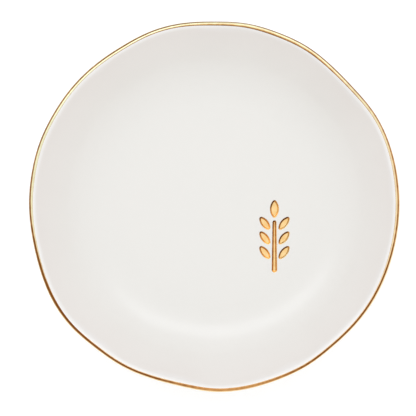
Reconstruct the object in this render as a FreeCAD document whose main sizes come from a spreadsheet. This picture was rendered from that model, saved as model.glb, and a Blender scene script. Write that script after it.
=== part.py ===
import FreeCAD, Part
import math
import os
import Sketcher
from FreeCAD import Placement, Rotation, Vector

# Ring dish: a pressed ceramic dish with a softly waved rim, standing on a foot ring, dipped in
# white glaze, with a gilded lip and a gilded sprig stamped into the floor.
# Millimetres; the foot stands on z = 0, the dish axis is z, the sprig points along y.

SIZES = (
    ("rim_diameter", "100"),
    ("dish_height", "18"),
    ("lip_thickness", "1.2"),
    ("floor_diameter", "57"),
    ("floor_thickness", "3"),
    ("floor_bend_share", "0.875"),
    ("underside_step", "1"),
    ("underside_bend_share", "0.925"),
    ("foot_inset", "1"),
    ("foot_width", "4"),
    ("foot_height", "1.8"),
    ("foot_edge_radius", "0.5"),
    ("foot_draft_angle", "14"),
    ("glaze_thickness", "0.2"),
    ("gilding_thickness", "0.1"),
    ("band_inner_reach", "0.35"),
    ("band_outer_drop", "1"),
    ("motif_across_share", "0.593"),
    ("motif_up_share", "-0.291"),
    ("stamp_depth", "0.8"),
    ("stamp_draft_angle", "25"),
    ("stem_length", "14.6"),
    ("stem_root_width", "1.5"),
    ("stem_tip_width", "1.1"),
    ("leaf_length", "5"),
    ("leaf_width", "2.1"),
    ("leaf_angle", "38"),
    ("leaf_offset", "1.15"),
    ("leaf_start", "3.6"),
    ("leaf_pitch", "4.1"),
    ("tip_leaf_gap", "0.5"),
    ("tip_leaf_length", "5.4"),
    ("tip_leaf_width", "2.5"),
    ("cut_overrun", "1"),
)

LEAF_PAIRS = 3

# Rim radius at equal turns from +x, as shares of half the rim diameter.
RIM_SHARES = (
    1.0, 1.002, 1.004, 1.0, 0.9855, 0.987,
    0.998, 0.9995, 1.0025, 0.9975, 1.005, 1.007,
    0.9995, 1.001, 1.004, 1.004, 1.0065, 1.004,
    1.002, 0.9985, 1.004, 1.015, 1.014, 1.001,
    0.9985, 0.9905, 0.9895, 1.0035, 1.0035, 0.9985,
    0.9975, 0.991, 0.995, 0.9995, 0.9985, 0.998,
)
# Rise of the lip for each length it leans inwards, and how much of the lean reaches the bend.
LEAN_LIFT_SHARE = 0.6
BEND_WAVE_SHARE = 0.33
# Arcs are cubics of at most this turn, with handles that follow from a quarter of the turn.
LONGEST_ARC = math.pi / 3
ARC_HANDLE_SHARE = 4 / 3

doc = FreeCAD.newDocument("ring_dish")
sheet = doc.addObject("Spreadsheet::Sheet", "Sizes")
for row, (alias, value) in enumerate(SIZES, 1):
    sheet.set("A%d" % row, alias)
    sheet.set("B%d" % row, value)
    sheet.setAlias("B%d" % row, alias)
doc.recompute()


def size(alias):
    return float(sheet.get(alias))


def bind(item, **formulas):
    for name, formula in formulas.items():
        item.setExpression(name.replace("__", "."), formula)


glaze = size("glaze_thickness")
gilding = size("gilding_thickness")
rim_radius = size("rim_diameter") / 2
lip_half = size("lip_thickness") / 2
lip_radius = rim_radius - glaze - gilding - lip_half
lip_level = size("dish_height") - glaze - gilding - lip_half
under_level = size("foot_height")
floor_level = under_level + size("floor_thickness")
floor_radius = size("floor_diameter") / 2
under_radius = floor_radius - size("underside_step")
foot_radius = under_radius - size("foot_inset")

GLAZE_FLOOR = "Sizes.foot_height + Sizes.floor_thickness + Sizes.glaze_thickness"
FOOT_RADIUS = "Sizes.floor_diameter / 2 - Sizes.underside_step - Sizes.foot_inset"


def wall_angle(run, rise, lever):
    return math.atan2(rise, run) + math.asin(lever / math.hypot(run, rise))


def along(start, end, share):
    return start + (end - start) * share


def arc_poles(centre, radius, start, end):
    """Four poles of a cubic that follows an arc, each a radius and a height."""
    handle = radius * ARC_HANDLE_SHARE * math.tan((end - start) / 4)

    def pole(angle, reach):
        across = radius * math.cos(angle) - reach * math.sin(angle)
        up = radius * math.sin(angle) + reach * math.cos(angle)
        return centre[0] + across, centre[1] + up

    return pole(start, 0), pole(start, handle), pole(end, -handle), pole(end, 0)


def arc_run(centre, radius, start, end):
    count = math.ceil(abs(end - start) / LONGEST_ARC)
    turns = [along(start, end, step / count) for step in range(count + 1)]
    return [arc_poles(centre, radius, *pair) for pair in zip(turns, turns[1:])]


def side(bend_radius, bend_level, bend, lip, wall, lip_start):
    """One side of the section: the bend from the flat, the wall, and the lip up to its crest.

    Each pole is its radius, its height and how far it follows the wave of the rim. The wave
    grows evenly along the line of the wall, so the stretches stay tangent all the way round."""
    curve = arc_poles((bend_radius, bend_level), bend, -math.pi / 2, wall - math.pi / 2)
    caps = arc_run((lip_radius, lip_level), lip, lip_start, math.pi / 2)
    top = caps[0][0]
    length = math.dist(curve[3], top)
    before = along(BEND_WAVE_SHARE, 1, -math.dist(curve[2], curve[3]) / length)
    beyond = along(BEND_WAVE_SHARE, 1, 1 + math.dist(top, caps[0][1]) / length)
    stretches = [curve, (curve[3], top)] + caps
    waves = [(0, 0, before, BEND_WAVE_SHARE), (BEND_WAVE_SHARE, 1), (1, beyond, 1, 1)]
    waves += [(1, 1, 1, 1)] * (len(caps) - 1)
    return [[(*pole, wave) for pole, wave in zip(*pair)] for pair in zip(stretches, waves)]


def outward(turn):
    angle = 2 * math.pi * turn / len(RIM_SHARES)
    return Vector(math.cos(angle), math.sin(angle), 0)


def waved(pole, turn):
    radius, height, wave = pole
    lean = wave * rim_radius * (RIM_SHARES[turn] - 1)
    point = outward(turn) * (radius + lean)
    point.z = height - lean * LEAN_LIFT_SHARE
    return point


def waved_ring(pole):
    ring = Part.BSplineCurve()
    points = [waved(pole, turn) for turn in range(len(RIM_SHARES))]
    turns = [float(turn) for turn in range(len(RIM_SHARES) + 1)]
    ring.interpolate(Points=points, Parameters=turns, PeriodicFlag=True)
    return ring


def waved_skin(poles):
    """The face that a stretch of the section sweeps right round the dish."""
    rings = [waved_ring(pole) for pole in poles]
    around = rings[0]
    degree = len(poles) - 1
    skin = Part.BSplineSurface()
    skin.buildFromPolesMultsKnots(
        [ring.getPoles() for ring in rings],
        (degree + 1, degree + 1),
        around.getMultiplicities(),
        (0, 1),
        around.getKnots(),
        False,
        True,
        degree,
        around.Degree,
    )
    return skin.toShape()


def closed_solid(faces):
    shell = Part.makeShell(faces)
    shell.sewShape()
    solid = Part.Solid(Part.Shell(shell.Faces))
    if solid.Volume < 0:
        solid.reverse()
    return solid


def dish_form(coat):
    """The whole dish, grown by the coat on every side."""
    outer_bend = (lip_radius - under_radius) * size("underside_bend_share")
    inner_bend = (lip_radius - floor_radius) * size("floor_bend_share")
    outer_at = under_level + outer_bend
    inner_at = floor_level + inner_bend
    outer = wall_angle(lip_radius - under_radius, lip_level - outer_at, outer_bend - lip_half)
    inner = wall_angle(lip_radius - floor_radius, lip_level - inner_at, inner_bend + lip_half)
    lip = lip_half + coat
    sides = (
        side(under_radius, outer_at, outer_bend + coat, lip, outer, outer - math.pi / 2),
        side(floor_radius, inner_at, inner_bend - coat, lip, inner, inner + math.pi / 2),
    )
    faces = []
    for stretches in sides:
        faces += [waved_skin(poles) for poles in stretches]
        faces.append(Part.Face(Part.Wire([waved_ring(stretches[0][0]).toShape()])))
    return closed_solid(faces)


def lip_form():
    """A waved ring round the lip that bounds the gilded band."""
    overrun = size("cut_overrun")
    low = size("dish_height") - size("band_outer_drop")
    high = size("dish_height") + overrun
    near = lip_radius - size("band_inner_reach")
    far = rim_radius + overrun
    corners = ((near, low, 1), (near, high, 1), (far, high, 1), (far, low, 1))
    return closed_solid([waved_skin(pair) for pair in zip(corners, corners[1:] + corners[:1])])


def form(label, shape):
    item = doc.addObject("Part::Feature", label)
    item.Shape = shape
    return item


def boolean(kind, label, base, tool):
    item = doc.addObject(kind, label)
    item.Base = base
    item.Tool = tool
    return item


def new_body(label):
    body = doc.addObject("PartDesign::Body", label)
    body.AllowCompound = True
    return body


def origin_part(body, role):
    return next(item for item in body.Origin.OriginFeatures if item.Role == role)


def new_sketch(body, label, plane):
    sketch = body.newObject("Sketcher::SketchObject", label)
    sketch.AttachmentSupport = [(origin_part(body, plane), "")]
    sketch.MapMode = "FlatFace"
    return sketch


def hold(sketch, formula, kind, *places):
    """Adds a constraint that takes its value from the sheet, angles in degrees."""
    value = sketch.evalExpression(formula)
    if kind == "Angle":
        value = math.radians(value)
    number = sketch.addConstraint(Sketcher.Constraint(kind, *places, value))
    sketch.setExpression("Constraints[%d]" % number, formula)


def circle_arc(centre, radius, start, end):
    return Part.ArcOfCircle(Part.Circle(centre, Vector(0, 0, 1), radius), start, end)


def drafted_pad(body, sketch, label, depth, overrun):
    pad = body.newObject("PartDesign::Pad", label)
    pad.Profile = (sketch, [""])
    if overrun:
        pad.SideType = "Two sides"
        bind(pad, Length="Sizes.cut_overrun", Length2=depth, TaperAngle2="-Sizes.stamp_draft_angle")
    else:
        pad.Reversed = True
        bind(pad, Length=depth, TaperAngle="-Sizes.stamp_draft_angle")
    return pad


def leaf_sketch(body, label, length, width, grow):
    """A pointed leaf from the sketch origin along its y axis, grown on all sides."""
    radius = "(%s ^ 2 + %s ^ 2) / (4 * %s)" % (length, width, width)
    inset = "%s - %s / 2" % (radius, width)
    sketch = new_sketch(body, label, "XY_Plane")
    reach = sketch.evalExpression(inset)
    bow = sketch.evalExpression("%s + %s" % (radius, grow))
    middle = sketch.evalExpression("%s / 2" % length)
    swing = math.acos(reach / bow)
    sketch.addGeometry(circle_arc(Vector(-reach, middle, 0), bow, -swing, swing))
    sketch.addGeometry(circle_arc(Vector(reach, middle, 0), bow, math.pi - swing, math.pi + swing))
    sketch.addConstraint(Sketcher.Constraint("Coincident", 0, 2, 1, 1))
    sketch.addConstraint(Sketcher.Constraint("Coincident", 1, 2, 0, 1))
    sketch.addConstraint(Sketcher.Constraint("Equal", 0, 1))
    sketch.addConstraint(Sketcher.Constraint("Symmetric", 0, 3, 1, 3, -2))
    hold(sketch, inset, "DistanceX", 0, 3, -1, 1)
    hold(sketch, "%s / 2" % length, "DistanceY", -1, 1, 0, 3)
    hold(sketch, "%s + %s" % (radius, grow), "Radius", 0)
    return sketch


def stem_sketch(body, label, grow):
    """A tapering stem with round ends, its foot at the sketch origin."""
    sketch = new_sketch(body, label, "XY_Plane")
    root_half = "Sizes.stem_root_width / 2"
    tip_half = "Sizes.stem_tip_width / 2"
    root_at = sketch.evalExpression(root_half)
    tip_at = sketch.evalExpression("Sizes.stem_length - " + tip_half)
    root = sketch.evalExpression("%s + %s" % (root_half, grow))
    tip = sketch.evalExpression("%s + %s" % (tip_half, grow))
    lean = math.asin((root - tip) / (tip_at - root_at))
    right = Vector(math.cos(lean), math.sin(lean), 0)
    left = Vector(-right.x, right.y, 0)
    low = Vector(0, root_at, 0)
    high = Vector(0, tip_at, 0)
    sketch.addGeometry(circle_arc(low, root, math.pi - lean, 2 * math.pi + lean))
    sketch.addGeometry(Part.LineSegment(low + right * root, high + right * tip))
    sketch.addGeometry(circle_arc(high, tip, lean, math.pi - lean))
    sketch.addGeometry(Part.LineSegment(high + left * tip, low + left * root))
    for before, after in ((0, 1), (1, 2), (2, 3), (3, 0)):
        sketch.addConstraint(Sketcher.Constraint("Tangent", before, 2, after, 1))
    for arc in (0, 2):
        sketch.addConstraint(Sketcher.Constraint("PointOnObject", arc, 3, -2))
    hold(sketch, root_half, "DistanceY", -1, 1, 0, 3)
    hold(sketch, "Sizes.stem_length - " + tip_half, "DistanceY", -1, 1, 2, 3)
    hold(sketch, "%s + %s" % (root_half, grow), "Radius", 0)
    hold(sketch, "%s + %s" % (tip_half, grow), "Radius", 2)
    return sketch


def stamp(label, coat, overrun):
    """The sprig as a drafted die whose faces all stand off the glazed recess by the coat."""
    body = new_body(label)
    grow = "(%s) / cos(Sizes.stamp_draft_angle * 1 deg)" % coat
    depth = "Sizes.stamp_depth + (%s)" % coat
    foot = "-(Sizes.stem_length + Sizes.tip_leaf_gap + Sizes.tip_leaf_length) / 2"
    bind(
        body,
        Placement__Base__x="Sizes.floor_diameter / 2 * Sizes.motif_across_share",
        Placement__Base__y="Sizes.floor_diameter / 2 * Sizes.motif_up_share",
        Placement__Base__z=GLAZE_FLOOR,
    )
    stem = stem_sketch(body, label + "_stem_sketch", grow)
    bind(stem, AttachmentOffset__Base__y=foot)
    drafted_pad(body, stem, label + "_stem", depth, overrun)

    tip = leaf_sketch(body, label + "_tip_sketch", "Sizes.tip_leaf_length", "Sizes.tip_leaf_width", grow)
    bind(tip, AttachmentOffset__Base__y=foot + " + Sizes.stem_length + Sizes.tip_leaf_gap")
    drafted_pad(body, tip, label + "_tip_leaf", depth, overrun)

    leaf = leaf_sketch(body, label + "_leaf_sketch", "Sizes.leaf_length", "Sizes.leaf_width", grow)
    leaf.AttachmentOffset = Placement(Vector(0, 0, 0), Rotation(Vector(0, 0, -1), size("leaf_angle")))
    bind(
        leaf,
        AttachmentOffset__Base__x="Sizes.leaf_offset",
        AttachmentOffset__Base__y=foot + " + Sizes.leaf_start",
        AttachmentOffset__Rotation__Angle="Sizes.leaf_angle",
    )
    pad = drafted_pad(body, leaf, label + "_leaf", depth, overrun)
    leaves = body.newObject("PartDesign::MultiTransform", label + "_leaves")
    leaves.Originals = [pad]
    mirror = body.newObject("PartDesign::Mirrored", label + "_leaf_mirror")
    mirror.MirrorPlane = (origin_part(body, "YZ_Plane"), [""])
    pairs = body.newObject("PartDesign::LinearPattern", label + "_leaf_row")
    pairs.Direction = (origin_part(body, "Y_Axis"), [""])
    pairs.Mode = "Spacing"
    pairs.Occurrences = LEAF_PAIRS
    bind(pairs, Offset="Sizes.leaf_pitch")
    leaves.Transformations = [mirror, pairs]
    body.Tip = leaves
    return body


def foot_ring():
    """A ring with drafted walls, flat underneath, its lower edges rounded."""
    body = new_body("foot_ring")
    sketch = new_sketch(body, "foot_section", "XZ_Plane")
    inner = foot_radius - size("foot_width")
    height = size("foot_height")
    edge = size("foot_edge_radius")
    draft = math.radians(size("foot_draft_angle"))
    shift = (height - edge) * math.tan(draft) + edge / math.cos(draft)
    right = Vector(foot_radius - shift, edge, 0)
    left = Vector(inner + shift, edge, 0)
    lean = Vector(math.cos(draft), -math.sin(draft), 0) * edge
    fall = Vector(0, -edge, 0)
    corner_in = Vector(inner, height, 0)
    corner_out = Vector(foot_radius, height, 0)
    side_in = left + Vector(-lean.x, lean.y, 0)
    sketch.addGeometry(Part.LineSegment(corner_in, side_in))
    sketch.addGeometry(circle_arc(left, edge, math.pi + draft, math.pi * 3 / 2))
    sketch.addGeometry(Part.LineSegment(left + fall, right + fall))
    sketch.addGeometry(circle_arc(right, edge, -math.pi / 2, -draft))
    sketch.addGeometry(Part.LineSegment(right + lean, corner_out))
    sketch.addGeometry(Part.LineSegment(corner_out, corner_in))
    sketch.addConstraint(Sketcher.Constraint("Tangent", 0, 2, 1, 1))
    sketch.addConstraint(Sketcher.Constraint("Tangent", 1, 2, 2, 1))
    sketch.addConstraint(Sketcher.Constraint("Tangent", 2, 2, 3, 1))
    sketch.addConstraint(Sketcher.Constraint("Tangent", 3, 2, 4, 1))
    sketch.addConstraint(Sketcher.Constraint("Coincident", 4, 2, 5, 1))
    sketch.addConstraint(Sketcher.Constraint("Coincident", 5, 2, 0, 1))
    sketch.addConstraint(Sketcher.Constraint("Horizontal", 5))
    sketch.addConstraint(Sketcher.Constraint("PointOnObject", 2, 1, -1))
    sketch.addConstraint(Sketcher.Constraint("PointOnObject", 2, 2, -1))
    sketch.addConstraint(Sketcher.Constraint("Equal", 1, 3))
    hold(sketch, FOOT_RADIUS, "DistanceX", -1, 1, 4, 2)
    hold(sketch, "Sizes.foot_width", "DistanceX", 0, 1, 4, 2)
    hold(sketch, "Sizes.foot_height", "DistanceY", -1, 1, 4, 2)
    hold(sketch, "Sizes.foot_edge_radius", "Radius", 1)
    hold(sketch, "90 - Sizes.foot_draft_angle", "Angle", 4)
    hold(sketch, "Sizes.foot_draft_angle - 90", "Angle", 0)
    ring = body.newObject("PartDesign::Revolution", "foot_turned")
    ring.Profile = (sketch, [""])
    ring.ReferenceAxis = (sketch, ["V_Axis"])
    return body


def disc(label, radius, height, level):
    item = doc.addObject("Part::Cylinder", label)
    bind(item, Radius=radius, Height=height, Placement__Base__z=level)
    return item


foot = foot_ring()

clay_form = form("clay_form", dish_form(0))
glaze_form = form("glaze_form", dish_form(glaze))
gilded_form = form("gilded_form", dish_form(glaze + gilding))
lip_zone = form("lip_zone", lip_form())

clay_die = stamp("clay_die", "Sizes.glaze_thickness", True)
glaze_die = stamp("glaze_die", "0", True)
gilding_block = stamp("gilding_block", "0", False)
gilding_die = stamp("gilding_die", "-Sizes.gilding_thickness", True)

clay_body = boolean("Part::Cut", "clay_body", clay_form, clay_die)

glazed_recess = boolean("Part::Cut", "glazed_recess", glaze_form, glaze_die)
glaze_shell = boolean("Part::Cut", "glaze_shell", glazed_recess, clay_body)
foot_zone = disc("foot_zone", FOOT_RADIUS, "Sizes.foot_height", "0")
glaze_coat = boolean("Part::Cut", "glaze_coat", glaze_shell, foot_zone)

base_glaze = disc(
    "base_glaze",
    FOOT_RADIUS + " - Sizes.foot_width",
    "Sizes.glaze_thickness",
    "Sizes.foot_height - Sizes.glaze_thickness",
)

gilded_lip = boolean("Part::Common", "gilded_lip", gilded_form, lip_zone)
rim_gilding = boolean("Part::Cut", "rim_gilding", gilded_lip, glaze_form)

motif_gilding = boolean("Part::Cut", "motif_gilding", gilding_block, gilding_die)

doc.recompute()

for item in doc.Objects:
    if "Invalid" in item.State or "Error" in item.State:
        raise RuntimeError("%s did not build" % item.Label)

os.makedirs("parts", exist_ok=True)
for item in (clay_body, foot, glaze_coat, base_glaze, rim_gilding, motif_gilding):
    shape = item.Shape
    if shape.isNull() or not shape.isValid() or not shape.Solids:
        raise RuntimeError("%s has no sound solid" % item.Label)
    shape.exportStep("parts/%s.step" % item.Label)
    print("%s solids %d" % (item.Label, len(shape.Solids)))
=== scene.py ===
import math

import bpy
import numpy as np
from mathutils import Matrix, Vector, geometry, noise


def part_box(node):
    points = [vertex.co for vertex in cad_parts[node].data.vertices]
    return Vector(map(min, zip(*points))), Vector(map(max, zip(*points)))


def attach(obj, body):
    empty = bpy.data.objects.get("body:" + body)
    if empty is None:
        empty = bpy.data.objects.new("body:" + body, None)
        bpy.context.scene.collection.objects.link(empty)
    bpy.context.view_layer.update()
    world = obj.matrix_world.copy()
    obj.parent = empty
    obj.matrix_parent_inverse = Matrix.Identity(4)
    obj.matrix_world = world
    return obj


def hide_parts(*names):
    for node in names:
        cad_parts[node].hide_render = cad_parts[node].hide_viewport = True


# Ring dish seen from straight above: white satin glaze over fired clay, a gilded waved lip and
# a gilded sprig stamped into the floor. Metres, in the frame of the solids.

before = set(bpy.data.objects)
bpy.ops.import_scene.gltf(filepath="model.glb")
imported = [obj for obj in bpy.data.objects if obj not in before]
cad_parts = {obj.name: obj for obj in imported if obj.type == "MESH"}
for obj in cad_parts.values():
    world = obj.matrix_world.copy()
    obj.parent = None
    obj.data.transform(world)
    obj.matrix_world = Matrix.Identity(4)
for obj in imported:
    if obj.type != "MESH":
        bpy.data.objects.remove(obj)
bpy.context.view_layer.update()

MM = 0.001

# Levels and radii that the solids give
foot_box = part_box("foot_ring")
base_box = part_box("base_glaze")
motif_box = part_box("motif_gilding")
FOOT_RADIUS = foot_box[1].x
BASE_RADIUS = base_box[1].x
BASE_LEVEL = base_box[0].z
UNDER_LEVEL = foot_box[1].z
GLAZE_FLOOR = motif_box[1].z
MOTIF_X = (motif_box[0].x + motif_box[1].x) / 2
MOTIF_Y = (motif_box[0].y + motif_box[1].y) / 2

# Dish section
RIM_RADIUS = 50 * MM
DISH_HEIGHT = 18 * MM
LIP_HALF = 0.6 * MM
GLAZE = 0.2 * MM
GILDING = 0.1 * MM
FLOOR_RADIUS = 28.5 * MM
UNDERSIDE_STEP = 1 * MM
FOOT_DRAFT = math.radians(14)
FLOOR_BEND_SHARE = 0.875
UNDERSIDE_BEND_SHARE = 0.925
LIP_RADIUS = RIM_RADIUS - GLAZE - GILDING - LIP_HALF
LIP_LEVEL = DISH_HEIGHT - GLAZE - GILDING - LIP_HALF
CLAY_FLOOR = GLAZE_FLOOR - GLAZE
UNDER_RADIUS = FLOOR_RADIUS - UNDERSIDE_STEP

# Rim wave: radius at equal turns from +x as shares of the rim, and how it spreads down the wall
RIM_SHARES = np.array((
    1.0, 1.002, 1.004, 1.0, 0.9855, 0.987,
    0.998, 0.9995, 1.0025, 0.9975, 1.005, 1.007,
    0.9995, 1.001, 1.004, 1.004, 1.0065, 1.004,
    1.002, 0.9985, 1.004, 1.015, 1.014, 1.001,
    0.9985, 0.9905, 0.9895, 1.0035, 1.0035, 0.9985,
    0.9975, 0.991, 0.995, 0.9995, 0.9985, 0.998,
))
LEAN_LIFT_SHARE = 0.6
BEND_WAVE_SHARE = 0.33
LONGEST_ARC = math.pi / 3
ARC_HANDLE_SHARE = 4 / 3

# Sprig
STAMP_DEPTH = 0.8 * MM
STAMP_DRAFT = math.radians(25)
STEM_LENGTH = 14.6 * MM
STEM_ROOT_HALF = 0.75 * MM
STEM_TIP_HALF = 0.55 * MM
LEAF_LENGTH = 5 * MM
LEAF_WIDTH = 2.1 * MM
LEAF_ANGLE = math.radians(38)
LEAF_OFFSET = 1.15 * MM
LEAF_START = 3.6 * MM
LEAF_PITCH = 4.1 * MM
LEAF_PAIRS = 3
TIP_LEAF_GAP = 0.5 * MM
TIP_LEAF_LENGTH = 5.4 * MM
TIP_LEAF_WIDTH = 2.5 * MM
LEAF_CORE_INSET = 0.56 * MM
BRIM_RADIUS = 0.12 * MM
HOLLOW_RADIUS = 0.18 * MM

# Ripple of the glazed wall
WALL_RIPPLE = 0.07 * MM
WALL_RIPPLE_SPAN = 14 * MM

# Glaze bead from the foot outwards: how far out in beads, how thick in glazes
GLAZE_BEAD = 0.12 * MM
BEAD_PROFILE = ((0, 0), (0.25, 0.6), (0.7, 1.1), (1.6, 1.25), (3, 1.0))

# Base glaze from its middle to the foot: shares of its radius and of the pool's drop
BASE_POOL = 0.35 * MM
BASE_PROFILE = ((0.2, 0), (0.6, 0), (0.97, 0), (0.985, 0.2), (0.995, 0.55), (1, 1))

# Painted light in the gold of the sprig: the side whose walls carry a painted highlight while walls
# facing away carry painted shade, the film share there, and the power by which the brim on that side
# fills
PAINTED_LIGHT_TURN = math.radians(-55)
PAINTED_HIGHLIGHT_FILM = 1.35
BRIM_HIGHLIGHT_POWER = 2

# Lines of the gold band at every 30 degrees from +x, as turns up from the lip's outer side: a
# stretch along the shoulder painted brown as a dark reflection, with a share of film left on it, and
# an inner edge that fades out
BAND_OUTER = math.radians(-6)
BAND_DARK_REFLECTION_FROM = np.radians((48, 26, 18, 20, 32, 18, 28, 45, 50, 54, 46, 54))
BAND_DARK_REFLECTION_TO = np.radians((77, 60, 54, 50, 67, 62, 70, 95, 86, 100, 86, 87))
BAND_DARK_REFLECTION_FILM = np.array((0.28, 0.2, 0, 0, 0.15, 0.22, 0.15, 0, 0, 0.42, 0.18, 0))
BAND_INNER = np.radians((112, 102, 124, 112, 103, 104, 106, 99, 98, 108, 97, 100))
BAND_INNER_FADE = np.radians((9, 12, 52, 46, 15, 6, 5, 4, 4, 5, 4, 5))

# Small wander of the band's edges, its rate in waves per metre, and how the gold meets the glaze
BAND_WANDER = math.radians(4)
BAND_WANDER_RATE = 60
OUTER_WANDER_SHIFT = Vector((3, 3, 3))
BAND_FADE = math.radians(10)
BAND_EDGE = 0.14 * MM
GOLD_SINK = 0.02 * MM
GOLD_LINING_SINK = 2 * GOLD_SINK

# Mesh fineness
AROUND = 480
BEND_STEPS = 18
WALL_STEPS = 14
LIP_STEPS = 7
BAND_STEPS = 30
BAND_UNDER_STEPS = 8
LINING_STRIDE = 4
LEAF_ARC_STEPS = 26
LEAF_TIP_STEPS = 6
STEM_SIDE_STEPS = 24
BRIM_STEPS = 6
FILM_START_STEP = 1
FILM_FULL_STEP = BRIM_STEPS - 1

# Filling of a flat outline: Blender's number for triangles all over, and what counts as one point
FILL_TRIANGLES = 0
FILL_NEARNESS = GLAZE / 1000

# Noises of the finishes as waves per metre and detail, the spans of a noise that are used, and
# bumps as height and strength
GLAZE_CLOUD = (90, 2)
GLAZE_PEEL = (500, 1)
GLAZE_SHEEN = (160, 2)
GOLD_MOTTLE = (700, 4)
GOLD_SHEEN = (420, 3)
CLAY_GRAIN = (1800, 5)
WIDE_NOISE = (0.2, 0.8)
NARROW_NOISE = (0.3, 0.7)
CLOUD_BUMP = (0.2 * MM, 0.025)
PEEL_BUMP = (0.02 * MM, 0.02)
MOTTLE_BUMP = (0.05 * MM, 0.2)
GRAIN_BUMP = (0.1 * MM, 0.35)

# Glaze: linear colours from the floor up to the lip, with painted shade: a touch lighter at the
# bend, darker and pinker towards the lip; and a painted highlight on the lip's crest next to the
# gold
GLAZE_COLOURS_AND_PAINTED_SHADE = (
    (0.0, (0.836, 0.824, 0.787)),
    (0.40, (0.857, 0.834, 0.797)),
    (0.84, (0.839, 0.800, 0.765)),
    (0.93, (0.862, 0.834, 0.814)),
)
GLAZE_CREST_HIGHLIGHT_COLOUR = (0.945, 0.925, 0.905, 1)
PAINTED_SHADE_HEIGHT_SHARE = 0.8
GLAZE_CLOUD_SHARE = 0.25
GLAZE_ROUGHNESS = (0.285, 0.325)
GLAZE_IOR = 1.6
GLAZE_COAT = 0.3
GLAZE_COAT_ROUGHNESS = 0.2

# Gold: linear colours from a thin film to a pooled one, whose brown and pale ends also paint dark
# reflections, shade and highlights; and a painted reflection tint on the far side of the dish
FULL_FILM = 0.7
FILM_STOPS = (0.08, 0.33, FULL_FILM, 1.0)
RIM_GOLD = ((0.225, 0.075, 0.014), (0.65, 0.315, 0.105), (0.89, 0.74, 0.45), (0.93, 0.80, 0.52))
MOTIF_GOLD = ((0.12, 0.042, 0.009), (0.62, 0.31, 0.09), (0.97, 0.66, 0.29), (1.0, 0.90, 0.62))
FILM_MOTTLE = (-0.12, 0.12)
GOLD_ROUGHNESS = (0.285, 0.36)
FAR_REFLECTION_TURN = 120
FAR_REFLECTION_SPAN = (-10 * MM, 42.5 * MM)
FAR_REFLECTION_TINT = (0.91, 1.08, 1.17, 1)

# Bare clay: linear colours of its specks and of the rest
SPECK_STOPS = (0.32, 0.55)
FOOT_CLAY = ((0.52, 0.44, 0.34), (0.70, 0.63, 0.53))
BODY_CLAY = ((0.60, 0.53, 0.44), (0.74, 0.68, 0.60))
CLAY_ROUGHNESS = 0.85

# Stage: turns in degrees round from +x, rises in degrees above the floor
WHITE = (1, 1, 1, 1)
FLOOR_SIDE = 12.0
FLOOR_COLOUR = (0.92, 0.92, 0.92, 1)
FLOOR_LIFT = 0.25
BOX_WIDTH = 1.35
BOX_HEIGHT = 0.36
BOX_WATTS = 2.14
BOX_COLOUR = (0.89, 0.935, 1.0)
BOX_TURN = 98
BOX_RISE = 55
NEAR_TURN = -65
NEAR_RISE = 38
ROOM_COLOURS = (
    (0.0, (0.60, 0.57, 0.54)),
    (0.20, (0.82, 0.81, 0.80)),
    (0.40, (0.90, 0.90, 0.90)),
)
NEAR_COLOURS = ((0.0, (0.93, 0.93, 0.93)), (1.0, (1.07, 1.07, 1.07)))

# Photograph: 416 pixels square, dish centre and mean rim diameter in pixels
IMAGE_SIDE = 416
DISH_CENTRE_PX = (214.5, 206.3)
RIM_PX = 370.3
LENS = 100
SENSOR = 36

# Places of the factor, the two colours and the result on Blender's Mix node
MIX_INPUTS = (0, 6, 7)
MIX_RESULT = 2


def mix(start, end, share):
    return start + (end - start) * share


def clipped(share):
    return min(max(share, 0), 1)


def direction(turn, rise):
    """Unit vector from degrees round from +x and degrees above the floor."""
    flat = math.cos(math.radians(rise))
    across = math.cos(math.radians(turn)) * flat
    return Vector((across, math.sin(math.radians(turn)) * flat, math.sin(math.radians(rise))))


def add_object(name, data):
    item = bpy.data.objects.new(name, data)
    bpy.context.scene.collection.objects.link(item)
    return item


def closed_spline(values):
    """A smooth closed curve through values at equal turns, read at AROUND places."""
    count = len(values)
    bend = np.zeros((count, count))
    for k in range(count):
        bend[k, k] = 2 / 3
        bend[k, k - 1] = 1 / 6
        bend[k, (k + 1) % count] = 1 / 6
    change = np.roll(values, 1) - 2 * values + np.roll(values, -1)
    curl = np.linalg.solve(bend, change)
    place = np.arange(AROUND) * count / AROUND
    low = place.astype(int)
    high = (low + 1) % count
    part = place - low
    start = (1 - part) ** 3 * curl[low] / 6 + (1 - part) * (values[low] - curl[low] / 6)
    return start + part ** 3 * curl[high] / 6 + part * (values[high] - curl[high] / 6)


# The plain circle and the lean of the rim wave at AROUND places
turns = np.arange(len(RIM_SHARES)) * 2 * math.pi / len(RIM_SHARES)
leans = RIM_RADIUS * (RIM_SHARES - 1)
ACROSS = closed_spline(np.cos(turns))
UP = closed_spline(np.sin(turns))
LEAN_ACROSS = closed_spline(leans * np.cos(turns))
LEAN_UP = closed_spline(leans * np.sin(turns))
LEAN = closed_spline(leans)


def ring(radius, height, wave):
    """Points of one ring of the dish: plain at wave 0, following the whole rim wave at 1."""
    columns = (
        radius * ACROSS + wave * LEAN_ACROSS,
        radius * UP + wave * LEAN_UP,
        height - wave * LEAN * LEAN_LIFT_SHARE,
    )
    return np.stack(np.broadcast_arrays(*columns), axis=1)


def lip_ring(rise, angle):
    """A ring on the lip, by its distance from the lip's centre line and its turn up from outside."""
    return ring(LIP_RADIUS + rise * np.cos(angle), LIP_LEVEL + rise * np.sin(angle), 1)


def wall_angle(run, rise, lever):
    return math.atan2(rise, run) + math.asin(lever / math.hypot(run, rise))


def arc_poles(centre, radius, start, end):
    """The four poles of a cubic curve along an arc."""
    handle = radius * ARC_HANDLE_SHARE * math.tan((end - start) / 4)

    def pole(angle, reach):
        across = radius * math.cos(angle) - reach * math.sin(angle)
        up = radius * math.sin(angle) + reach * math.cos(angle)
        return centre[0] + across, centre[1] + up

    return pole(start, 0), pole(start, handle), pole(end, -handle), pole(end, 0)


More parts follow.
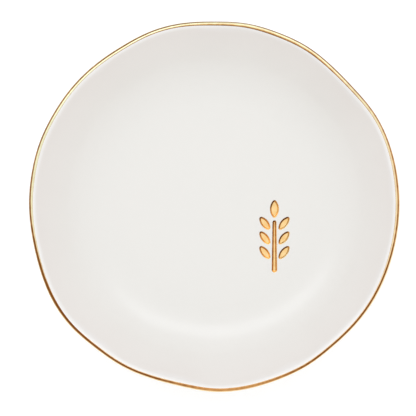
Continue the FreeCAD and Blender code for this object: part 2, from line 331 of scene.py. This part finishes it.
def arc_run(centre, radius, start, end):
    """Curves along an arc of any length, none longer than LONGEST_ARC."""
    count = math.ceil(abs(end - start) / LONGEST_ARC)
    marks = [mix(start, end, step / count) for step in range(count + 1)]
    return [arc_poles(centre, radius, *pair) for pair in zip(marks, marks[1:])]


def along_poles(poles, steps):
    """Places along a curve, from its first pole up to but not at its last."""
    places = []
    for step in range(steps):
        points = np.array(poles)
        while len(points) > 1:
            points = mix(points[:-1], points[1:], step / steps)
        places.append(points[0])
    return places


def side(bend_radius, bend_level, bend, lip, wall, lip_start):
    """Rows of one side of the section, from the flat to just before the crest of the lip."""
    curve = arc_poles((bend_radius, bend_level), bend, -math.pi / 2, wall - math.pi / 2)
    caps = arc_run((LIP_RADIUS, LIP_LEVEL), lip, lip_start, math.pi / 2)
    top = caps[0][0]
    length = math.dist(curve[3], top)
    before = mix(BEND_WAVE_SHARE, 1, -math.dist(curve[2], curve[3]) / length)
    beyond = mix(BEND_WAVE_SHARE, 1, 1 + math.dist(top, caps[0][1]) / length)
    stretches = [curve, (curve[3], top)] + caps
    waves = [(0, 0, before, BEND_WAVE_SHARE), (BEND_WAVE_SHARE, 1), (1, beyond, 1, 1)]
    waves += [(1, 1, 1, 1)] * (len(caps) - 1)
    steps = [BEND_STEPS, WALL_STEPS] + [LIP_STEPS] * len(caps)
    rows = []
    for poles, wave, count in zip(stretches, waves, steps):
        rows += along_poles([(*pole, w) for pole, w in zip(poles, wave)], count)
    return rows


def section(coat):
    """Rows up the outside, over the lip and down to the floor, grown by the coat."""
    outer_bend = (LIP_RADIUS - UNDER_RADIUS) * UNDERSIDE_BEND_SHARE
    inner_bend = (LIP_RADIUS - FLOOR_RADIUS) * FLOOR_BEND_SHARE
    outer_at = UNDER_LEVEL + outer_bend
    inner_at = CLAY_FLOOR + inner_bend
    outer = wall_angle(LIP_RADIUS - UNDER_RADIUS, LIP_LEVEL - outer_at, outer_bend - LIP_HALF)
    inner = wall_angle(LIP_RADIUS - FLOOR_RADIUS, LIP_LEVEL - inner_at, inner_bend + LIP_HALF)
    lip = LIP_HALF + coat
    up = side(UNDER_RADIUS, outer_at, outer_bend + coat, lip, outer, outer - math.pi / 2)
    down = side(FLOOR_RADIUS, inner_at, inner_bend - coat, lip, inner, inner + math.pi / 2)
    crest = np.array((LIP_RADIUS, LIP_LEVEL + lip, 1.0))
    return up + [crest] + down[::-1]


class Build:
    """Collects the points and faces of one piece, and at each point a gold film for its material
    that also carries painted light.
    """

    def __init__(self):
        self.points = []
        self.faces = []
        self.film_and_painted_light = []

    def loop(self, points, film_and_painted_light=0.0):
        first = len(self.points)
        self.points += [tuple(point) for point in points]
        self.film_and_painted_light += list(np.broadcast_to(film_and_painted_light, len(points)))
        return list(range(first, len(self.points)))

    def again(self, loop):
        """The same points once more, so that the shading breaks there."""
        return self.loop([self.points[index] for index in loop])

    def bridge(self, low, high):
        """Quads from one closed loop to the next."""
        for k in range(len(low)):
            after = (k + 1) % len(low)
            self.faces.append((low[k], low[after], high[after], high[k]))

    def rings(self, loops):
        for low, high in zip(loops, loops[1:]):
            self.bridge(low, high)

    def cap(self, loop):
        self.faces.append(tuple(loop))

    def sheet(self, edge, holes):
        """Faces that look up, between a level loop and the holes in it."""
        loop_of = {index: edge for index in edge}
        for hole in holes:
            loop_of.update({index: hole for index in hole})
        flat = sorted(loop_of)
        order = {index: k for k, index in enumerate(flat)}
        places = [Vector(self.points[index][:2]) for index in flat]
        sides = []
        for loop in [edge] + holes:
            sides += [(order[a], order[b]) for a, b in zip(loop, loop[1:] + loop[:1])]
        filled = geometry.delaunay_2d_cdt(places, sides, [], FILL_TRIANGLES, FILL_NEARNESS)
        _, _, triangles, origins, _, _ = filled
        source = [flat[inputs[0]] for inputs in origins]
        faces = []
        for triangle in triangles:
            corners = tuple(source[corner] for corner in triangle)
            first = loop_of[corners[0]]
            within_one = all(loop_of[corner] is first for corner in corners)
            if first is edge or not within_one:
                faces.append(corners)
        return faces

    def piece(self, name, material, slot, *nodes):
        mesh = bpy.data.meshes.new(name)
        mesh.from_pydata(self.points, [], self.faces)
        mesh.shade_smooth()
        mesh.attributes.new("film_and_painted_light", "FLOAT", "POINT").data.foreach_set("value", self.film_and_painted_light)
        mesh.materials.append(material)
        item = add_object(name, mesh)
        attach(item, "root")
        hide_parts(*nodes)
        return item


def leaf_outline(length, width, grow):
    """A leaf along +y from the origin, grown all round, with its tips rounded."""
    radius = (length ** 2 + width ** 2) / (4 * width)
    reach = radius - width / 2
    core = radius - LEAF_CORE_INSET
    swing = math.acos(reach / core)
    half = core * math.sin(swing)
    tip = LEAF_CORE_INSET + grow
    bow = core + tip
    middle = length / 2
    stretches = (
        (-reach, middle, bow, -swing, swing, LEAF_ARC_STEPS),
        (0, middle + half, tip, swing, math.pi - swing, LEAF_TIP_STEPS),
        (reach, middle, bow, math.pi - swing, math.pi + swing, LEAF_ARC_STEPS),
        (0, middle - half, tip, math.pi + swing, 2 * math.pi - swing, LEAF_TIP_STEPS),
    )
    points = []
    for x, y, size, start, end, steps in stretches:
        for step in range(steps):
            angle = mix(start, end, step / steps)
            points.append((x + size * math.cos(angle), y + size * math.sin(angle)))
    return points


def stem_outline(grow):
    """The tapering stem along +y, its foot at the origin, grown all round."""
    low = STEM_ROOT_HALF
    high = STEM_LENGTH - STEM_TIP_HALF
    root = STEM_ROOT_HALF + grow
    tip = STEM_TIP_HALF + grow
    lean = math.asin((root - tip) / (high - low))
    right = np.array((math.cos(lean), math.sin(lean)))
    left = right * (-1, 1)
    points = []
    for step in range(LEAF_ARC_STEPS):
        angle = mix(math.pi - lean, 2 * math.pi + lean, step / LEAF_ARC_STEPS)
        points.append((root * math.cos(angle), low + root * math.sin(angle)))
    for step in range(STEM_SIDE_STEPS):
        share = step / STEM_SIDE_STEPS
        points.append(right * mix(root, tip, share) + (0, mix(low, high, share)))
    for step in range(LEAF_ARC_STEPS):
        angle = mix(lean, math.pi - lean, step / LEAF_ARC_STEPS)
        points.append((tip * math.cos(angle), high + tip * math.sin(angle)))
    for step in range(STEM_SIDE_STEPS):
        share = step / STEM_SIDE_STEPS
        points.append(left * mix(tip, root, share) + (0, mix(high, low, share)))
    return points


def sprig_outlines(grow):
    """Closed outlines of the stem and every leaf, in the frame of the dish."""
    foot = -(STEM_LENGTH + TIP_LEAF_GAP + TIP_LEAF_LENGTH) / 2
    tip_at = foot + STEM_LENGTH + TIP_LEAF_GAP
    placed = [(stem_outline(grow), 0, foot, 0)]
    placed.append((leaf_outline(TIP_LEAF_LENGTH, TIP_LEAF_WIDTH, grow), 0, tip_at, 0))
    leaf = leaf_outline(LEAF_LENGTH, LEAF_WIDTH, grow)
    for pair in range(LEAF_PAIRS):
        level = foot + LEAF_START + LEAF_PITCH * pair
        placed.append((leaf, LEAF_OFFSET, level, -LEAF_ANGLE))
        placed.append((leaf, -LEAF_OFFSET, level, LEAF_ANGLE))
    outlines = []
    for outline, x, y, angle in placed:
        turn = np.array(((math.cos(angle), math.sin(angle)), (-math.sin(angle), math.cos(angle))))
        outlines.append(np.array(outline) @ turn + (MOTIF_X + x, MOTIF_Y + y))
    return outlines


def recess_profile(coat):
    """Steps into the recess, each how far in from its brim and how deep, grown by the coat."""
    slope = math.pi / 2 - STAMP_DRAFT
    brim_reach = BRIM_RADIUS * math.tan(slope / 2)
    hollow_in = STAMP_DEPTH * math.tan(STAMP_DRAFT) + HOLLOW_RADIUS * math.tan(slope / 2)
    brim = BRIM_RADIUS + coat
    hollow = HOLLOW_RADIUS - coat
    steps = []
    for step in range(BRIM_STEPS + 1):
        angle = slope * step / BRIM_STEPS
        steps.append((brim * math.sin(angle) - brim_reach, brim * math.cos(angle) - BRIM_RADIUS))
    for step in range(BRIM_STEPS, -1, -1):
        angle = slope * step / BRIM_STEPS
        depth = HOLLOW_RADIUS - STAMP_DEPTH - hollow * math.cos(angle)
        steps.append((hollow_in - hollow * math.sin(angle), depth))
    return steps


def at_level(outline, level):
    return [(x, y, level) for x, y in outline]


def hollows(profile):
    """For the stem and every leaf, the outlines of its hollow at each step of the profile."""
    levels = []
    for inset, depth in profile:
        outlines = sprig_outlines(-inset)
        levels.append([at_level(outline, GLAZE_FLOOR + depth) for outline in outlines])
    return list(zip(*levels))


def ripple(points, wave):
    """Moves the points of a ring a little up and down, most of all halfway up the wall."""
    swell = math.sin(math.pi * clipped(wave)) * WALL_RIPPLE
    for point in points:
        point[2] += swell * noise.noise(Vector(point) / WALL_RIPPLE_SPAN)


def glazed_floor(build, edge):
    """The flat floor inside the edge, and the hollows of the sprig in it."""
    steps = hollows(recess_profile(0))
    brims = [build.loop(hollow[0]) for hollow in steps]
    build.faces += build.sheet(edge, brims)
    for brim, hollow in zip(brims, steps):
        loops = [brim] + [build.loop(outline) for outline in hollow[1:]]
        build.rings(loops)
        build.cap(loops[-1])


def glaze_lining(build, foot_edge):
    """The side of the glaze that lies on the clay, from the foot to the floor and its recess."""
    rows = section(0)
    rows = rows[:-1:LINING_STRIDE] + rows[-1:]
    loops = [build.again(foot_edge)] + [build.loop(ring(*row)) for row in rows]
    build.rings(loops[::-1])
    lean = math.tan(STAMP_DRAFT)
    brim_grow = GLAZE / math.cos(STAMP_DRAFT) - GLAZE * lean
    brims = [build.loop(at_level(outline, CLAY_FLOOR)) for outline in sprig_outlines(brim_grow)]
    build.faces += [face[::-1] for face in build.sheet(loops[-1], brims)]
    bottoms = sprig_outlines(brim_grow - STAMP_DEPTH * lean)
    for brim, outline in zip(brims, bottoms):
        bottom = build.loop(at_level(outline, CLAY_FLOOR - STAMP_DEPTH))
        build.bridge(bottom, brim)
        build.cap(bottom[::-1])


def glaze_skin(material):
    """The glaze from its bead at the foot, over the lip, to the floor and into the recess."""
    build = Build()
    loops = []
    for out, thick in BEAD_PROFILE:
        points = ring(FOOT_RADIUS + out * GLAZE_BEAD, UNDER_LEVEL - thick * GLAZE, 0)
        loops.append(build.loop(points))
    for radius, height, wave in section(GLAZE):
        points = ring(radius, height, wave)
        ripple(points, wave)
        # On the glaze the film attribute is a painted highlight: 0 at the lip's middle, 1 at its
        # crest.
        loops.append(build.loop(points, clipped((height - LIP_LEVEL) / LIP_HALF)))
    build.rings(loops)
    glazed_floor(build, loops[-1])
    glaze_lining(build, loops[0])
    return build.piece("glaze_skin", material, "white_glaze", "glaze_coat")


def base_glaze(material):
    """The glaze inside the foot ring, drawn a little down the foot where it pools."""
    build = Build()
    loops = []
    edge = BASE_RADIUS + BASE_POOL * math.tan(FOOT_DRAFT)
    for out, drop in BASE_PROFILE:
        loops.append(build.loop(ring(edge * out, BASE_LEVEL - BASE_POOL * drop, 0)))
    build.rings(loops)
    build.cap(loops[0][::-1])
    top = build.loop(ring(BASE_RADIUS, UNDER_LEVEL, 0))
    build.bridge(build.again(loops[-1]), top)
    build.cap(top)
    return build.piece("base_glaze_pool", material, "white_glaze", "base_glaze")


def wander(shift):
    """The small wander of an edge of the band at AROUND places."""
    spots = [Vector(spot) * BAND_WANDER_RATE + shift for spot in ring(LIP_RADIUS, LIP_LEVEL, 1)]
    return BAND_WANDER * np.array([noise.noise(spot) for spot in spots])


def rim_band(material):
    """The gold over the lip: its brushed edges wander, and along the shoulder it is painted brown as
    a dark reflection.
    """
    build = Build()
    loops = []
    lip = LIP_HALF + GLAZE
    outer_wander = wander(OUTER_WANDER_SHIFT)
    inner = closed_spline(BAND_INNER) + wander(Vector())
    outer = BAND_OUTER + outer_wander
    dark_reflection_from = closed_spline(BAND_DARK_REFLECTION_FROM) + outer_wander
    dark_reflection_to = closed_spline(BAND_DARK_REFLECTION_TO) + outer_wander
    dark_reflection_film = closed_spline(BAND_DARK_REFLECTION_FILM)
    inner_fade = closed_spline(BAND_INNER_FADE)
    for step in range(BAND_STEPS + 1):
        share = step / BAND_STEPS
        angle = mix(outer, inner, share)
        edge = np.clip(np.minimum(share, 1 - share) * (inner - outer) * lip / BAND_EDGE, 0, 1)
        rise = lip - GOLD_SINK + (GILDING + GOLD_SINK) * edge * (2 - edge)
        # Painted dark reflection: between these turns the film drops, so the gold there shows brown.
        shoulder = np.maximum(angle - dark_reflection_to, dark_reflection_from - angle) / BAND_FADE + 0.5
        inside = (inner - angle) / inner_fade
        film_and_painted_light = np.minimum(np.maximum(shoulder, dark_reflection_film), inside)
        loops.append(build.loop(lip_ring(rise, angle), np.clip(film_and_painted_light, 0, 1)))
    build.rings(loops)
    under = [build.again(loops[-1])]
    for step in range(BAND_UNDER_STEPS + 1):
        angle = mix(inner, outer, step / BAND_UNDER_STEPS)
        under.append(build.loop(lip_ring(lip - GOLD_LINING_SINK, angle)))
    build.rings(under + [build.again(loops[0])])
    return build.piece("rim_band", material, "rim_gold", "rim_gilding")


def painted_light_side(outline):
    """How far each spot of a hollow's wall lies to the side painted with a highlight, 0 to 1; the
    other side gets painted shade.
    """
    flat = np.array(outline)[:, :2]
    ahead = np.roll(flat, -1, axis=0) - np.roll(flat, 1, axis=0)
    outward = np.stack((ahead[:, 1], -ahead[:, 0]), axis=1)
    outward /= np.linalg.norm(outward, axis=1)[:, None]
    return 0.5 + 0.5 * outward @ (math.cos(PAINTED_LIGHT_TURN), math.sin(PAINTED_LIGHT_TURN))


def gold_steps():
    """Steps into the gilded recess, and beside them the film of each and how steep it lies."""
    profile = []
    layers = []
    for number, (bare, coated) in enumerate(zip(recess_profile(0), recess_profile(GILDING))):
        film_and_painted_light = clipped((number - FILM_START_STEP) / (FILM_FULL_STEP - FILM_START_STEP))
        inset = mix(bare[0], coated[0], film_and_painted_light)
        depth = mix(bare[1], coated[1], film_and_painted_light) - GOLD_SINK * (1 - film_and_painted_light)
        steep = math.sqrt(clipped(1 - abs(number - BRIM_STEPS) / BRIM_STEPS))
        profile.append((inset, depth))
        layers.append((film_and_painted_light, steep))
    return profile, layers


def sprig_gilding(material):
    """The gold in each hollow of the sprig, thinning out over its brim, with painted shade on the
    walls of one side and a painted highlight on the other.
    """
    build = Build()
    profile, layers = gold_steps()
    lining = [(inset, depth - GOLD_LINING_SINK) for inset, depth in recess_profile(0)[1:]]
    for over, under in zip(hollows(profile), hollows(lining)):
        loops = []
        for outline, (film_and_painted_light, steep) in zip(over, layers):
            lit_share = painted_light_side(outline)
            # Painted light: walls away from the lit side get a thin, dark film as painted shade;
            # walls and brim towards it a pale, pooled film as painted highlight.
            layer = mix(film_and_painted_light, 1, lit_share ** BRIM_HIGHLIGHT_POWER) * mix(1, PAINTED_HIGHLIGHT_FILM * lit_share, steep)
            loops.append(build.loop(outline, layer))
        build.rings(loops)
        build.cap(loops[-1])
        back = [build.again(loops[0])] + [build.loop(outline) for outline in under]
        build.rings(back[::-1])
        build.cap(back[-1][::-1])
    return build.piece("sprig_gilding", material, "motif_gold", "motif_gilding")


class Tree:
    """Adds nodes to a material or world. Each method gives the new node's result."""

    def __init__(self, owner):
        owner.use_nodes = True
        self.nodes = owner.node_tree.nodes
        self.links = owner.node_tree.links

    def feed(self, socket, value):
        """Links a result to a socket, or sets the socket to a number, vector or colour."""
        if isinstance(value, bpy.types.NodeSocket):
            self.links.new(value, socket)
        else:
            socket.default_value = value

    def coords(self, kind):
        return self.nodes.new("ShaderNodeTexCoord").outputs[kind]

    # The film attribute also carries painted light: highlights and shade on the gold, a highlight on
    # the glaze.
    def film_and_painted_light(self):
        node = self.nodes.new("ShaderNodeAttribute")
        node.attribute_name = "film_and_painted_light"
        return node.outputs["Fac"]

    def height(self, vector):
        node = self.nodes.new("ShaderNodeSeparateXYZ")
        self.feed(node.inputs["Vector"], vector)
        return node.outputs["Z"]

    def along(self, vector, way):
        """How far a vector goes along a unit vector."""
        node = self.nodes.new("ShaderNodeVectorMath")
        node.operation = "DOT_PRODUCT"
        self.feed(node.inputs[0], vector)
        self.feed(node.inputs[1], way)
        return node.outputs["Value"]

    def calculate(self, operation, *values):
        node = self.nodes.new("ShaderNodeMath")
        node.operation = operation
        for socket, value in zip(node.inputs, values):
            self.feed(socket, value)
        return node.outputs["Value"]

    def noise(self, vector, scale, detail):
        node = self.nodes.new("ShaderNodeTexNoise")
        self.feed(node.inputs["Vector"], vector)
        self.feed(node.inputs["Scale"], scale)
        self.feed(node.inputs["Detail"], detail)
        return node.outputs["Fac"]

    def remap(self, value, span, to_span):
        node = self.nodes.new("ShaderNodeMapRange")
        names = ("Value", "From Min", "From Max", "To Min", "To Max")
        for name, number in zip(names, (value, *span, *to_span)):
            self.feed(node.inputs[name], number)
        return node.outputs["Result"]

    def ramp(self, value, stops):
        """A colour ramp from (place, linear colour) stops."""
        node = self.nodes.new("ShaderNodeValToRGB")
        self.feed(node.inputs["Fac"], value)
        points = node.color_ramp.elements
        while len(points) < len(stops):
            points.new(1.0)
        for point, (place, colour) in zip(points, stops):
            point.position = place
            point.color = (*colour, 1)
        return node.outputs["Color"]

    def blend(self, kind, factor, first, second):
        node = self.nodes.new("ShaderNodeMix")
        node.data_type = "RGBA"
        node.blend_type = kind
        for place, value in zip(MIX_INPUTS, (factor, first, second)):
            self.feed(node.inputs[place], value)
        return node.outputs[MIX_RESULT]

    def bump(self, height, distance, strength, under=None):
        """A bumped normal, over another one where that is given."""
        node = self.nodes.new("ShaderNodeBump")
        self.feed(node.inputs["Height"], height)
        self.feed(node.inputs["Distance"], distance)
        self.feed(node.inputs["Strength"], strength)
        if under is not None:
            self.feed(node.inputs["Normal"], under)
        return node.outputs["Normal"]

    def seen_ray(self):
        """One where the eye, a mirror or glass looks straight at this surface."""
        path = self.nodes.new("ShaderNodeLightPath").outputs
        mirrored = self.calculate("MAXIMUM", path["Is Camera Ray"], path["Is Glossy Ray"])
        return self.calculate("MAXIMUM", mirrored, path["Is Transmission Ray"])


def new_material(name):
    """A material, its tree and the sockets of its shader."""
    material = bpy.data.materials.new(name)
    tree = Tree(material)
    return material, tree, tree.nodes["Principled BSDF"].inputs


def glaze_material():
    """Satin white glaze with a faint orange-peel; painted shade makes it darker and pinker towards
    the lip, and a painted highlight lightens the lip's crest.
    """
    material, tree, shader = new_material("white_glaze")
    coords = tree.coords("Object")
    cloud = tree.noise(coords, *GLAZE_CLOUD)
    peel = tree.noise(coords, *GLAZE_PEEL)
    sheen = tree.noise(coords, *GLAZE_SHEEN)
    # Painted shade: the colour turns darker and pinker with height up the wall, and a touch lighter
    # at the bend.
    height = tree.remap(tree.height(coords), (GLAZE_FLOOR, DISH_HEIGHT), (0, PAINTED_SHADE_HEIGHT_SHARE))
    place = tree.calculate("MULTIPLY_ADD", cloud, GLAZE_CLOUD_SHARE, height)
    colour = tree.ramp(place, GLAZE_COLOURS_AND_PAINTED_SHADE)
    # Painted highlight: the glaze is mixed to a paler colour on the lip's crest.
    tree.feed(shader["Base Color"], tree.blend("MIX", tree.film_and_painted_light(), colour, GLAZE_CREST_HIGHLIGHT_COLOUR))
    tree.feed(shader["Roughness"], tree.remap(sheen, WIDE_NOISE, GLAZE_ROUGHNESS))
    tree.feed(shader["IOR"], GLAZE_IOR)
    tree.feed(shader["Coat Weight"], GLAZE_COAT)
    tree.feed(shader["Coat Roughness"], GLAZE_COAT_ROUGHNESS)
    soft = tree.bump(cloud, *CLOUD_BUMP)
    tree.feed(shader["Normal"], tree.bump(peel, *PEEL_BUMP, soft))
    return material


def gold_material(name, colours):
    """Brushed-on gold lustre, faintly mottled: browner where it is thin and where painted shade and
    dark reflections are laid on, paler where it pools and where painted highlights are.

    A painted reflection tints it cooler and greener on the far side of the dish.
    """
    material, tree, shader = new_material(name)
    coords = tree.coords("Object")
    mottle = tree.noise(coords, *GOLD_MOTTLE)
    sheen = tree.noise(coords, *GOLD_SHEEN)
    spread = tree.remap(mottle, WIDE_NOISE, FILM_MOTTLE)
    film_and_painted_light = tree.calculate("MULTIPLY_ADD", tree.film_and_painted_light(), FULL_FILM, spread)
    colour = tree.ramp(film_and_painted_light, list(zip(FILM_STOPS, colours)))
    # Painted reflection: the gold is tinted cooler towards the far side of the dish.
    far = tree.remap(tree.along(coords, direction(FAR_REFLECTION_TURN, 0)), FAR_REFLECTION_SPAN, (0, 1))
    tree.feed(shader["Base Color"], tree.blend("MULTIPLY", far, colour, FAR_REFLECTION_TINT))
    tree.feed(shader["Metallic"], 1.0)
    tree.feed(shader["Roughness"], tree.remap(sheen, NARROW_NOISE, GOLD_ROUGHNESS))
    tree.feed(shader["Normal"], tree.bump(mottle, *MOTTLE_BUMP))
    return material


def clay_material(name, colours):
    """Bare fired clay: matt and grainy, with small darker specks."""
    material, tree, shader = new_material(name)
    grain = tree.noise(tree.coords("Object"), *CLAY_GRAIN)
    tree.feed(shader["Base Color"], tree.ramp(grain, list(zip(SPECK_STOPS, colours))))
    tree.feed(shader["Roughness"], CLAY_ROUGHNESS)
    tree.feed(shader["Normal"], tree.bump(grain, *GRAIN_BUMP))
    return material


def paint_node(name, material):
    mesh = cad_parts[name].data
    mesh.materials.clear()
    mesh.materials.append(material)


def stage_floor():
    """A pale floor; seen directly or in a mirror it is lifted to white, and keeps its shadow."""
    half = FLOOR_SIDE / 2
    corners = [(-half, -half, 0), (half, -half, 0), (half, half, 0), (-half, half, 0)]
    mesh = bpy.data.meshes.new("floor")
    mesh.from_pydata(corners, [], [(0, 1, 2, 3)])
    floor = add_object("floor", mesh)
    material, tree, shader = new_material("floor")
    tree.feed(shader["Base Color"], FLOOR_COLOUR)
    tree.feed(shader["Roughness"], 1.0)
    tree.feed(shader["Specular IOR Level"], 0.0)
    tree.feed(shader["Emission Color"], WHITE)
    lift = tree.calculate("MULTIPLY", tree.seen_ray(), FLOOR_LIFT)
    tree.feed(shader["Emission Strength"], lift)
    mesh.materials.append(material)


def soft_box():
    """A wide soft box beyond the far side of the dish."""
    lamp = bpy.data.lights.new("soft_box", "AREA")
    lamp.shape = "RECTANGLE"
    lamp.size = BOX_WIDTH
    lamp.size_y = BOX_HEIGHT
    lamp.energy = BOX_WATTS
    lamp.color = BOX_COLOUR
    box = add_object("soft_box", lamp)
    away = direction(BOX_TURN, BOX_RISE)
    box.location = away
    box.rotation_mode = "QUATERNION"
    box.rotation_quaternion = away.to_track_quat("Z", "Y")


def studio():
    """An even pale room, dimmer towards the horizon and a little brighter on the near side."""
    world = bpy.data.worlds.new("studio")
    bpy.context.scene.world = world
    tree = Tree(world)
    coords = tree.coords("Generated")
    room = tree.ramp(tree.height(coords), ROOM_COLOURS)
    near = tree.ramp(tree.along(coords, direction(NEAR_TURN, NEAR_RISE)), NEAR_COLOURS)
    light = tree.blend("MULTIPLY", 1.0, room, near)
    colour = tree.blend("MIX", tree.seen_ray(), light, WHITE)
    tree.feed(tree.nodes["Background"].inputs["Color"], colour)


def camera():
    """Straight down, set aside so that the dish falls where the photograph has it."""
    data = bpy.data.cameras.new("camera")
    data.lens = LENS
    data.sensor_width = SENSOR
    pixel = 2 * RIM_RADIUS / RIM_PX
    away = pixel * IMAGE_SIDE * LENS / SENSOR
    middle = IMAGE_SIDE / 2
    item = add_object("camera", data)
    item.location = (
        (middle - DISH_CENTRE_PX[0]) * pixel,
        (DISH_CENTRE_PX[1] - middle) * pixel,
        LIP_LEVEL + away,
    )
    bpy.context.scene.camera = item


bpy.context.scene.view_settings.view_transform = "Standard"

white_glaze = glaze_material()
rim_gold = gold_material("rim_gold", RIM_GOLD)
motif_gold = gold_material("motif_gold", MOTIF_GOLD)
foot_clay = clay_material("foot_clay", FOOT_CLAY)
bare_clay = clay_material("bare_clay", BODY_CLAY)

glaze_skin(white_glaze)
base_glaze(white_glaze)
rim_band(rim_gold)
sprig_gilding(motif_gold)
paint_node("foot_ring", foot_clay)
paint_node("clay_body", bare_clay)

stage_floor()
soft_box()
studio()
camera()
